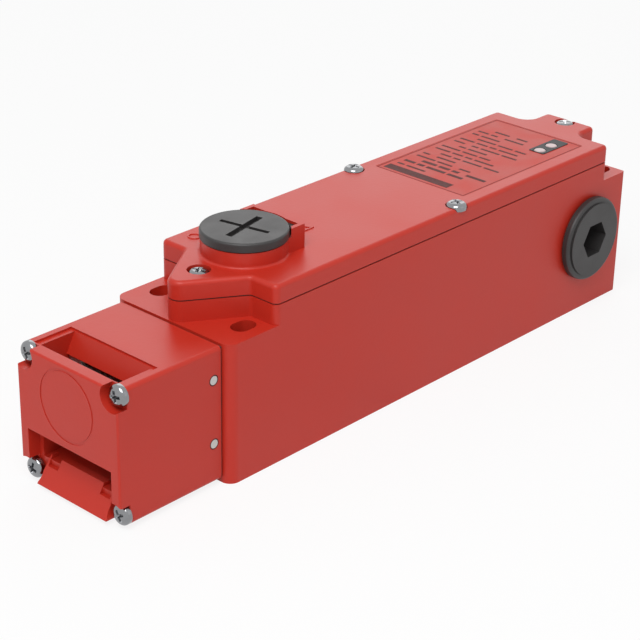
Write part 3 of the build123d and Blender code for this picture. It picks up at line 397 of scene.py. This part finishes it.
def finish(name):
    """A finish of this object, made once: its maker, its colour and the maker's other values."""
    if name not in MATERIALS:
        look = bpy.context.scene.interlock_colours
        recipes = {
            "red_paint": (powder_coat, look.paint),
            "label_foil": (moulded_plastic, look.label, 0.42, 4000, 0.22),
            "black_rubber": (rubber, (0.045, 0.022, 0.020)),
            "plated_steel": (plated_metal, look.plating, 0.14),
            "spring_steel": (drawn_metal, (0.52, 0.52, 0.51), 0.3, "X"),
            "bare_steel": (drawn_metal, (0.56, 0.55, 0.53), 0.32, "Y"),
            "cast_rotor": (plated_metal, (0.40, 0.39, 0.37), 0.42, 1200),
            "cast_cage": (plated_metal, (0.46, 0.46, 0.46), 0.5, 900),
            "brass": (drawn_metal, (0.66, 0.47, 0.19), 0.28, "X"),
            "copper_wire": (wound_wire, (0.62, 0.24, 0.10)),
            "pale_plastic": (moulded_plastic, (0.60, 0.57, 0.48), 0.5),
            "black_plastic": (moulded_plastic, look.plastic, 0.46),
            "black_gloss": (moulded_plastic, (0.007, 0.007, 0.008), 0.35, 3000, 0.12),
            "clear_lens": (moulded_plastic, look.lens, 0.3, 5000),
            "board_green": (moulded_plastic, (0.02, 0.14, 0.05), 0.4, 1600),
            "label_ink": (print_ink, look.ink),
            "line_ink": (print_ink, look.line),
        }
        maker, *values = recipes[name]
        MATERIALS[name] = maker(name, *values)
    return MATERIALS[name]


# Settings

class InterlockColours(bpy.types.PropertyGroup):
    """Colours of the switch."""

    paint: bpy.props.FloatVectorProperty(
        name="Paint", description="Powder coat of the castings", subtype="COLOR",
        default=(0.50, 0.026, 0.013)
    )
    label: bpy.props.FloatVectorProperty(
        name="Label", description="Ground colour of the label", subtype="COLOR",
        default=(0.48, 0.030, 0.015)
    )
    plastic: bpy.props.FloatVectorProperty(
        name="Black plastic", description="Release disc and plugs", subtype="COLOR",
        default=(0.026, 0.024, 0.024)
    )
    plating: bpy.props.FloatVectorProperty(
        name="Plating", description="Zinc plating of the screws", subtype="COLOR",
        default=(0.27, 0.275, 0.285)
    )
    lens: bpy.props.FloatVectorProperty(
        name="Lens", description="Indicator lenses", subtype="COLOR",
        default=(0.56, 0.42, 0.42)
    )
    ink: bpy.props.FloatVectorProperty(
        name="Ink", description="Dark print on the label", subtype="COLOR",
        default=(0.085, 0.020, 0.018)
    )
    line: bpy.props.FloatVectorProperty(
        name="Line", description="Frame line of the label", subtype="COLOR",
        default=(0.22, 0.016, 0.012)
    )


class InterlockSizes(bpy.types.PropertyGroup):
    """Sizes of the pieces that are made here."""

    screw_head: bpy.props.FloatProperty(
        name="Screw head", description="Radius of a pan head", unit="LENGTH", default=2.9 * MM
    )
    screw_height: bpy.props.FloatProperty(
        name="Head height", description="Height of a pan head", unit="LENGTH", default=2.1 * MM
    )
    recess_width: bpy.props.FloatProperty(
        name="Recess width", description="Width of the cross recess", unit="LENGTH",
        default=1.15 * MM
    )
    recess_length: bpy.props.FloatProperty(
        name="Recess length", description="Length of the cross recess", unit="LENGTH",
        default=4.6 * MM
    )
    recess_depth: bpy.props.FloatProperty(
        name="Recess depth", description="Depth of the cross recess", unit="LENGTH",
        default=1.3 * MM
    )
    print_height: bpy.props.FloatProperty(
        name="Print height", description="Thickness of the printed ink", unit="LENGTH",
        default=0.02 * MM
    )
    frame_inset: bpy.props.FloatProperty(
        name="Frame inset", description="From the label's edge to its frame line", unit="LENGTH",
        default=0.35 * MM
    )
    frame_line: bpy.props.FloatProperty(
        name="Frame line", description="Width of the frame line", unit="LENGTH",
        default=0.35 * MM
    )
    title_inset: bpy.props.FloatProperty(
        name="Title inset", description="From the label's edge to the title bar", unit="LENGTH",
        default=1.7 * MM
    )
    title_height: bpy.props.FloatProperty(
        name="Title height", description="Height of the title bar", unit="LENGTH",
        default=3.3 * MM
    )
    title_end: bpy.props.FloatProperty(
        name="Title end", description="Bare field at the end of the title bar", unit="LENGTH",
        default=7.5 * MM
    )
    row_count: bpy.props.IntProperty(
        name="Rows", description="Rows of printed bars", default=15
    )
    row_pitch: bpy.props.FloatProperty(
        name="Row pitch", description="From one row to the next", unit="LENGTH",
        default=2.9 * MM
    )
    row_height: bpy.props.FloatProperty(
        name="Row height", description="Height of the printed bars", unit="LENGTH",
        default=0.9 * MM
    )
    word_length: bpy.props.FloatProperty(
        name="Word length", description="Length of a printed bar", unit="LENGTH",
        default=4.2 * MM
    )
    word_gap: bpy.props.FloatProperty(
        name="Word gap", description="Gap between printed bars", unit="LENGTH",
        default=0.9 * MM
    )
    mark_height: bpy.props.FloatProperty(
        name="Mark height", description="Height of the cast marks", unit="LENGTH",
        default=0.25 * MM
    )
    mark_size: bpy.props.FloatProperty(
        name="Mark size", description="Radius around a cast mark", unit="LENGTH",
        default=3.2 * MM
    )
    mark_line: bpy.props.FloatProperty(
        name="Mark line", description="Width of a cast line", unit="LENGTH",
        default=0.45 * MM
    )
    # width of the dark ring of painted shade round each pin end, standing in for the gap's shadow
    pin_shade_width: bpy.props.FloatProperty(
        name="Pin edge", description="Width of the dark edge round a pin", unit="LENGTH",
        default=0.5 * MM
    )
    pointer_reach: bpy.props.FloatProperty(
        name="Pointer reach", description="From the disc's centre to the pointer mark",
        unit="LENGTH", default=21.6 * MM
    )


class InterlockStudio(bpy.types.PropertyGroup):
    """Camera and light."""

    camera_place: bpy.props.FloatVectorProperty(
        name="Camera place", description="Camera position", subtype="XYZ", unit="LENGTH",
        default=(-0.38305, -0.32078, 0.25068)
    )
    camera_turn: bpy.props.FloatVectorProperty(
        name="Camera turn", description="Camera rotation", subtype="EULER",
        default=(1.12047, -0.01675, -0.82213)
    )
    lens: bpy.props.FloatProperty(
        name="Lens", description="Focal length", unit="CAMERA", default=106.94
    )
    sky: bpy.props.FloatProperty(
        name="Sky", description="Strength of the soft light all round", default=0.44
    )
    key: bpy.props.FloatProperty(
        name="Key", description="Power of the key lamp", unit="POWER", default=5.4
    )
    fill: bpy.props.FloatProperty(
        name="Fill", description="Power of the fill lamp", unit="POWER", default=0.2
    )
    back: bpy.props.FloatProperty(
        name="Back", description="Power of the back lamp", unit="POWER", default=1.4
    )


# Operators

class OBJECT_OT_interlock_stage(bpy.types.Operator):
    """Floor, soft light and the camera"""

    bl_idname = "object.interlock_stage"
    bl_label = "Stage"

    def execute(self, context):
        studio = context.scene.interlock_studio
        self.make_floor()
        self.make_world(context.scene, studio)
        for name, spot, width in LAMPS:
            self.make_lamp(name + "_lamp", spot, width, getattr(studio, name))
        self.make_camera(context.scene, studio)
        context.scene.view_settings.view_transform = "Standard"
        return {"FINISHED"}

    def make_floor(self):
        """Pale floor that keeps the object's shadow."""
        deselect()
        bpy.ops.mesh.primitive_plane_add(size=FLOOR_SIZE, location=(0, 0, 0))
        floor = bpy.context.object
        floor.name = "floor"
        material = bpy.data.materials.new("floor_white")
        material.use_nodes = True
        tree = material.node_tree
        tree.nodes.clear()
        rays = tree.nodes.new("ShaderNodeLightPath")
        seen = arithmetic(
            tree, "MAXIMUM", rays.outputs["Is Camera Ray"], rays.outputs["Is Glossy Ray"]
        )
        share = arithmetic(tree, "MULTIPLY", seen, FLOOR_GLOW)
        ground = tree.nodes.new("ShaderNodeBsdfDiffuse")
        ground.inputs["Color"].default_value = FLOOR_GREY
        glow = tree.nodes.new("ShaderNodeEmission")
        glow.inputs["Color"].default_value = WHITE
        mix = tree.nodes.new("ShaderNodeMixShader")
        tree.links.new(share, mix.inputs[0])
        tree.links.new(ground.outputs[0], mix.inputs[1])
        tree.links.new(glow.outputs[0], mix.inputs[2])
        out = tree.nodes.new("ShaderNodeOutputMaterial")
        tree.links.new(mix.outputs[0], out.inputs["Surface"])
        floor.data.materials.append(material)

    def make_world(self, scene, studio):
        """White background, with a softer light on the object."""
        world = bpy.data.worlds.new("studio")
        scene.world = world
        world.use_nodes = True
        tree = world.node_tree
        back = tree.nodes["Background"]
        back.inputs["Color"].default_value = WHITE
        rays = tree.nodes.new("ShaderNodeLightPath")
        seen = arithmetic(
            tree, "MAXIMUM", rays.outputs["Is Camera Ray"], rays.outputs["Is Glossy Ray"]
        )
        through = arithmetic(tree, "MAXIMUM", seen, rays.outputs["Is Transmission Ray"])
        strength = tree.nodes.new("ShaderNodeMapRange")
        strength.inputs["To Min"].default_value = studio.sky
        strength.inputs["To Max"].default_value = 1.0
        tree.links.new(through, strength.inputs["Value"])
        tree.links.new(strength.outputs["Result"], back.inputs["Strength"])

    def make_lamp(self, name, spot, width, power):
        """Square soft box that looks at the object."""
        deselect()
        bpy.ops.object.light_add(type="AREA", location=spot)
        lamp = bpy.context.object
        lamp.name = name
        lamp.data.size = width
        lamp.data.energy = power
        aim = Vector(LAMP_AIM) - Vector(spot)
        lamp.rotation_euler = aim.to_track_quat("-Z", "Y").to_euler()

    def make_camera(self, scene, studio):
        """Camera at the photograph's viewing angle."""
        deselect()
        bpy.ops.object.camera_add(location=studio.camera_place, rotation=studio.camera_turn)
        camera = bpy.context.object
        camera.name = "camera"
        camera.data.lens = studio.lens
        camera.data.sensor_width = SENSOR_WIDTH
        camera.data.clip_start = CAMERA_NEAR
        scene.camera = camera


class OBJECT_OT_interlock_finishes(bpy.types.Operator):
    """Give every carried-over part its finish"""

    bl_idname = "object.interlock_finishes"
    bl_label = "Finishes"

    def execute(self, context):
        slots = {row["node"]: row["material_slot"] for row in frame["record"]["subparts"]}
        for name, node in NODES.items():
            node.data.materials.clear()
            node.data.materials.append(finish(slots[name]))
        return {"FINISHED"}


def recess_bar(sizes, turn):
    """Cutter for one arm of a cross recess."""
    deselect()
    bpy.ops.mesh.primitive_cube_add(size=1, location=(0, 0, sizes.screw_height))
    bar = bpy.context.object
    bar.scale = (sizes.recess_length, sizes.recess_width, 2 * sizes.recess_depth)
    bar.rotation_euler = (0, 0, math.radians(turn))
    bpy.ops.object.transform_apply(location=False, rotation=True, scale=True)
    bpy.ops.object.mode_set(mode="EDIT")
    pick_faces(bar, lambda centre, normal: normal.z < -FLAT)
    bpy.ops.transform.resize(value=RECESS_FLOOR)
    bpy.ops.object.mode_set(mode="OBJECT")
    return bar


def pan_screw(sizes, shank_radius, shank_length):
    """A cross-recess pan-head screw that stands on its seat at the origin and points up."""
    deselect()
    rim = sizes.screw_height * RIM_SHARE
    bpy.ops.mesh.primitive_cylinder_add(
        vertices=HEAD_SIDES, radius=sizes.screw_head, depth=rim, location=(0, 0, rim / 2)
    )
    screw = bpy.context.object
    bpy.ops.object.transform_apply(location=True)
    bpy.ops.object.mode_set(mode="EDIT")
    pick_faces(screw, lambda centre, normal: normal.z > FLAT)
    reach = sizes.screw_head * CROWN_SHARE
    rise = sizes.screw_height - rim
    for step in range(CROWN_STEPS):
        low = math.pi / 2 * step / CROWN_STEPS
        high = math.pi / 2 * (step + 1) / CROWN_STEPS
        bpy.ops.mesh.inset(
            thickness=reach * (math.cos(low) - math.cos(high)),
            depth=rise * (math.sin(high) - math.sin(low)),
        )
    pick_faces(screw, lambda centre, normal: normal.z < -FLAT and abs(centre.x) < CENTRED)
    bpy.ops.mesh.inset(thickness=sizes.screw_head - shank_radius, depth=0)
    bpy.ops.mesh.extrude_region_move(TRANSFORM_OT_translate={"value": (0, 0, -shank_length)})
    bpy.ops.object.mode_set(mode="OBJECT")
    for bar in [recess_bar(sizes, turn) for turn in (0, 90)]:
        cut_away(screw, bar)
    activate(screw)
    rounding = screw.modifiers.new("edges", "BEVEL")
    rounding.width = EDGE_ROUNDING
    rounding.segments = 2
    rounding.limit_method = "ANGLE"
    rounding.angle_limit = EDGE_ANGLE
    bpy.ops.object.modifier_apply(modifier=rounding.name)
    return screw


class OBJECT_OT_interlock_lid_screws(bpy.types.Operator):
    """Cross-recess pan-head screws of the lid"""

    bl_idname = "object.interlock_lid_screws"
    bl_label = "Lid screws"

    def execute(self, context):
        sizes = context.scene.interlock_sizes
        for index, (low, high) in enumerate(islands("cover_screws")):
            seat = high.z - sizes.screw_height
            screw = pan_screw(sizes, LID_SHANK, seat - low.z)
            middle = (low + high) / 2
            spin = Matrix.Rotation(math.radians(LID_SCREW_TURNS[index]), 4, "Z")
            place(screw, Matrix.Translation((middle.x, middle.y, seat)) @ spin)
            name = f"lid_screw_{index + 1}"
            finish_piece(screw, name, finish("plated_steel"), "root")
            if index == 0:
                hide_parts("cover_screws")
        return {"FINISHED"}


class OBJECT_OT_interlock_head_screws(bpy.types.Operator):
    """Cross-recess pan-head screws of the operating head"""

    bl_idname = "object.interlock_head_screws"
    bl_label = "Head screws"

    def execute(self, context):
        sizes = context.scene.interlock_sizes
        for index, (low, high) in enumerate(islands("head_screws")):
            seat = low.x + sizes.screw_height
            screw = pan_screw(sizes, HEAD_SHANK, high.x - seat)
            middle = (low + high) / 2
            spin = Matrix.Rotation(math.radians(HEAD_SCREW_TURNS[index]), 4, "Z")
            lay = Matrix.Rotation(math.radians(-90), 4, "Y")
            place(screw, Matrix.Translation((seat, middle.y, middle.z)) @ lay @ spin)
            name = f"head_screw_{index + 1}"
            finish_piece(screw, name, finish("plated_steel"), "root")
            if index == 0:
                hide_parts("head_screws")
        return {"FINISHED"}


def raised_outline(corners, radius, width, centre, height, stretch=(1, 1), turn=0):
    """A closed raised line inside a polygon's edge, by inset and extrusion in edit mode."""
    deselect()
    bpy.ops.mesh.primitive_circle_add(vertices=corners, radius=radius, fill_type="NGON")
    piece = bpy.context.object
    piece.rotation_euler = (0, 0, turn)
    bpy.ops.object.transform_apply(rotation=True)
    piece.scale = (*stretch, 1)
    bpy.ops.object.transform_apply(scale=True)
    piece.data.transform(Matrix.Translation(centre))
    bpy.ops.object.mode_set(mode="EDIT")
    bpy.ops.mesh.select_mode(type="FACE")
    bpy.ops.mesh.select_all(action="SELECT")
    bpy.ops.mesh.inset(thickness=width)
    bpy.ops.mesh.delete(type="FACE")
    bpy.ops.mesh.select_all(action="SELECT")
    bpy.ops.mesh.normals_make_consistent(inside=False)
    bpy.ops.object.mode_set(mode="OBJECT")
    if piece.data.polygons[0].normal.z > 0:
        piece.data.flip_normals()
    bpy.ops.object.mode_set(mode="EDIT")
    bpy.ops.mesh.select_all(action="SELECT")
    bpy.ops.mesh.extrude_region_move(TRANSFORM_OT_translate={"value": (0, 0, height)})
    bpy.ops.mesh.select_all(action="SELECT")
    bpy.ops.mesh.normals_make_consistent(inside=False)
    bpy.ops.object.mode_set(mode="OBJECT")
    return piece


def flat_bar(x_span, y_span, bottom, height):
    """A low printed bar."""
    deselect()
    bpy.ops.mesh.primitive_cube_add(
        size=1, location=(sum(x_span) / 2, sum(y_span) / 2, bottom + height / 2)
    )
    bar = bpy.context.object
    bar.scale = (x_span[1] - x_span[0], y_span[1] - y_span[0], height)
    bpy.ops.object.transform_apply(location=True, scale=True)
    return bar


class OBJECT_OT_interlock_label(bpy.types.Operator):
    """Frame line and plain printed bars of the label"""

    bl_idname = "object.interlock_label"
    bl_label = "Label print"

    def execute(self, context):
        sizes = context.scene.interlock_sizes
        low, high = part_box("label_plate")
        self.frame_line(low, high, sizes)
        self.rows(low, high, sizes)
        return {"FINISHED"}

    def frame_line(self, low, high, sizes):
        """Thin line just inside the label's edge, from a square with sides of one."""
        length = high.x - low.x - 2 * sizes.frame_inset
        width = high.y - low.y - 2 * sizes.frame_inset
        centre = ((low.x + high.x) / 2, (low.y + high.y) / 2, high.z)
        square = raised_outline(
            4, math.sqrt(0.5), sizes.frame_line, centre, sizes.print_height,
            stretch=(length, width), turn=math.radians(45),
        )
        finish_piece(square, "label_frame", finish("line_ink"), "root")

    def rows(self, low, high, sizes):
        """A title bar across the near end and rows of short bars."""
        edge = low.x + sizes.title_inset
        title = (low.y + sizes.title_end, high.y - sizes.title_inset)
        bars = [flat_bar((edge, edge + sizes.title_height), title, high.z, sizes.print_height)]
        window_low, window_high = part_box("led_window")
        for row in range(sizes.row_count):
            near = edge + sizes.title_height + sizes.row_pitch * (row + FIRST_ROW)
            far = near + sizes.row_height * (BOLD_SHARE if row in BOLD_ROWS else 1)
            stop = low.y + sizes.title_inset * ROW_MARGIN
            if far > window_low.x - sizes.row_pitch / 2:
                stop = window_high.y + sizes.row_pitch / 2
            start = high.y - sizes.title_inset * (ROW_MARGIN + ROW_INDENT * (row % 3 == 2))
            for word in range(2 + (row * 7) % 4):
                if start - stop <= sizes.word_length:
                    break
                share = SHORT_WORD + WORD_STEP * ((row * 5 + word * 3) % 4)
                end = max(start - sizes.word_length * share, stop)
                bars.append(flat_bar((near, far), (end, start), high.z, sizes.print_height))
                start = end - sizes.word_gap * (1 + 2 * ((row + word) % 5 == 4))
        finish_piece(join(bars), "label_rows", finish("label_ink"), "root")


class OBJECT_OT_interlock_marks(bpy.types.Operator):
    """Raised outline marks on the lid beside the release disc"""

    bl_idname = "object.interlock_marks"
    bl_label = "Lid marks"

    def execute(self, context):
        sizes = context.scene.interlock_sizes
        low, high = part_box("release_disc")
        centre = (low + high) / 2
        spot = (
            centre.x + sizes.pointer_reach, centre.y + POINTER_SHIFT, LID_TOP - sizes.mark_height
        )
        pointer = raised_outline(3, sizes.mark_size, sizes.mark_line, spot, 2 * sizes.mark_height)
        finish_piece(pointer, "pointer_mark", finish("red_paint"), "root")
        deselect()
        bpy.ops.mesh.primitive_torus_add(
            major_segments=40, minor_segments=10, major_radius=sizes.mark_size * RING_RADIUS,
            minor_radius=sizes.mark_line * RING_LINE,
            location=(centre.x + RING_SPOT[0], high.y + RING_SPOT[1], LID_TOP)
        )
        ring = bpy.context.object
        finish_piece(ring, "ring_mark", finish("red_paint"), "root")
        return {"FINISHED"}


class OBJECT_OT_interlock_pins(bpy.types.Operator):
    """Dark rings round each end of the head's cross pins, as painted shade for the gap round each
    pin
    """

    bl_idname = "object.interlock_pins"
    bl_label = "Pin edges"

    def execute(self, context):
        sizes = context.scene.interlock_sizes
        wall_low, wall_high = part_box("head_housing")
        inset = sizes.pin_shade_width * SHADE_RING_DEPTH
        rings = []
        for low, high in islands("head_cross_pins"):
            middle = (low + high) / 2
            radius = (high.z - low.z) / 2
            for end in (wall_low.y + inset, wall_high.y - inset):
                deselect()
                bpy.ops.mesh.primitive_torus_add(
                    major_segments=48, minor_segments=10,
                    major_radius=radius + sizes.pin_shade_width / 4, minor_radius=sizes.pin_shade_width / 2,
                    location=(middle.x, end, middle.z), rotation=(math.radians(90), 0, 0)
                )
                rings.append(bpy.context.object)
        # the rings take the label's dark ink as painted shade in the gap round each pin end
        finish_piece(join(rings), "pin_edges", finish("label_ink"), "root")
        return {"FINISHED"}


class OBJECT_OT_interlock_springs(bpy.types.Operator):
    """Merged copies of the deforming springs' coils in spring steel, in place of the coils"""

    bl_idname = "object.interlock_springs"
    bl_label = "Springs"

    def execute(self, context):
        for joint in frame["record"]["behaviour"]["joints"]:
            for entry in joint.get("deforming_nodes", []):
                fixed_x = entry["fixed_end_x_m"]
                self.make_spring(entry["node"], joint["parent"], joint["child"], fixed_x)
        return {"FINISHED"}

    def make_spring(self, node, holder, body, fixed_x):
        """A merged copy of the coil in spring steel, shaded smooth, with the coil itself hidden.
        """
        low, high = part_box(node)
        coil = merged_copy(node)
        bpy.ops.object.mode_set(mode="OBJECT")
        bpy.ops.object.shade_smooth_by_angle(angle=SMOOTH_ANGLE)
        coil.name = node + "_coil"
        coil.data.name = coil.name
        coil.data.materials.clear()
        coil.data.materials.append(finish("spring_steel"))
        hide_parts(node)
        ends = (low.copy(), high.copy())
        start, end = sorted(ends, key=lambda corner: abs(corner.x - fixed_x))
        end.y, end.z = start.y, start.z
        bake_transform(coil)


class VIEW3D_PT_interlock(bpy.types.Panel):
    """Lists the operators and the settings of the switch"""

    bl_label = "Interlock switch"
    bl_space_type = "VIEW_3D"
    bl_region_type = "UI"
    bl_category = "Interlock"

    def draw(self, context):
        for operator in STEPS:
            self.layout.operator(operator)
        for group in ("interlock_colours", "interlock_sizes", "interlock_studio"):
            settings = getattr(context.scene, group)
            for key in settings.bl_rna.properties.keys():
                if key not in ("rna_type", "name"):
                    self.layout.prop(settings, key)


STEPS = (
    "object.interlock_stage",
    "object.interlock_finishes",
    "object.interlock_lid_screws",
    "object.interlock_head_screws",
    "object.interlock_label",
    "object.interlock_marks",
    "object.interlock_pins",
    "object.interlock_springs",
)

CLASSES = (
    InterlockColours,
    InterlockSizes,
    InterlockStudio,
    OBJECT_OT_interlock_stage,
    OBJECT_OT_interlock_finishes,
    OBJECT_OT_interlock_lid_screws,
    OBJECT_OT_interlock_head_screws,
    OBJECT_OT_interlock_label,
    OBJECT_OT_interlock_marks,
    OBJECT_OT_interlock_pins,
    OBJECT_OT_interlock_springs,
    VIEW3D_PT_interlock,
)


def register():
    for item in CLASSES:
        bpy.utils.register_class(item)
    bpy.types.Scene.interlock_colours = bpy.props.PointerProperty(type=InterlockColours)
    bpy.types.Scene.interlock_sizes = bpy.props.PointerProperty(type=InterlockSizes)
    bpy.types.Scene.interlock_studio = bpy.props.PointerProperty(type=InterlockStudio)


def unregister():
    del bpy.types.Scene.interlock_studio
    del bpy.types.Scene.interlock_sizes
    del bpy.types.Scene.interlock_colours
    for item in reversed(CLASSES):
        bpy.utils.unregister_class(item)


def main():
    """Make the dressed switch."""
    register()
    bpy.ops.object.interlock_stage()
    bpy.ops.object.interlock_finishes()
    bpy.ops.object.interlock_lid_screws()
    bpy.ops.object.interlock_head_screws()
    bpy.ops.object.interlock_label()
    bpy.ops.object.interlock_marks()
    bpy.ops.object.interlock_pins()
    bpy.ops.object.interlock_springs()


if __name__ == "__main__":
    main()
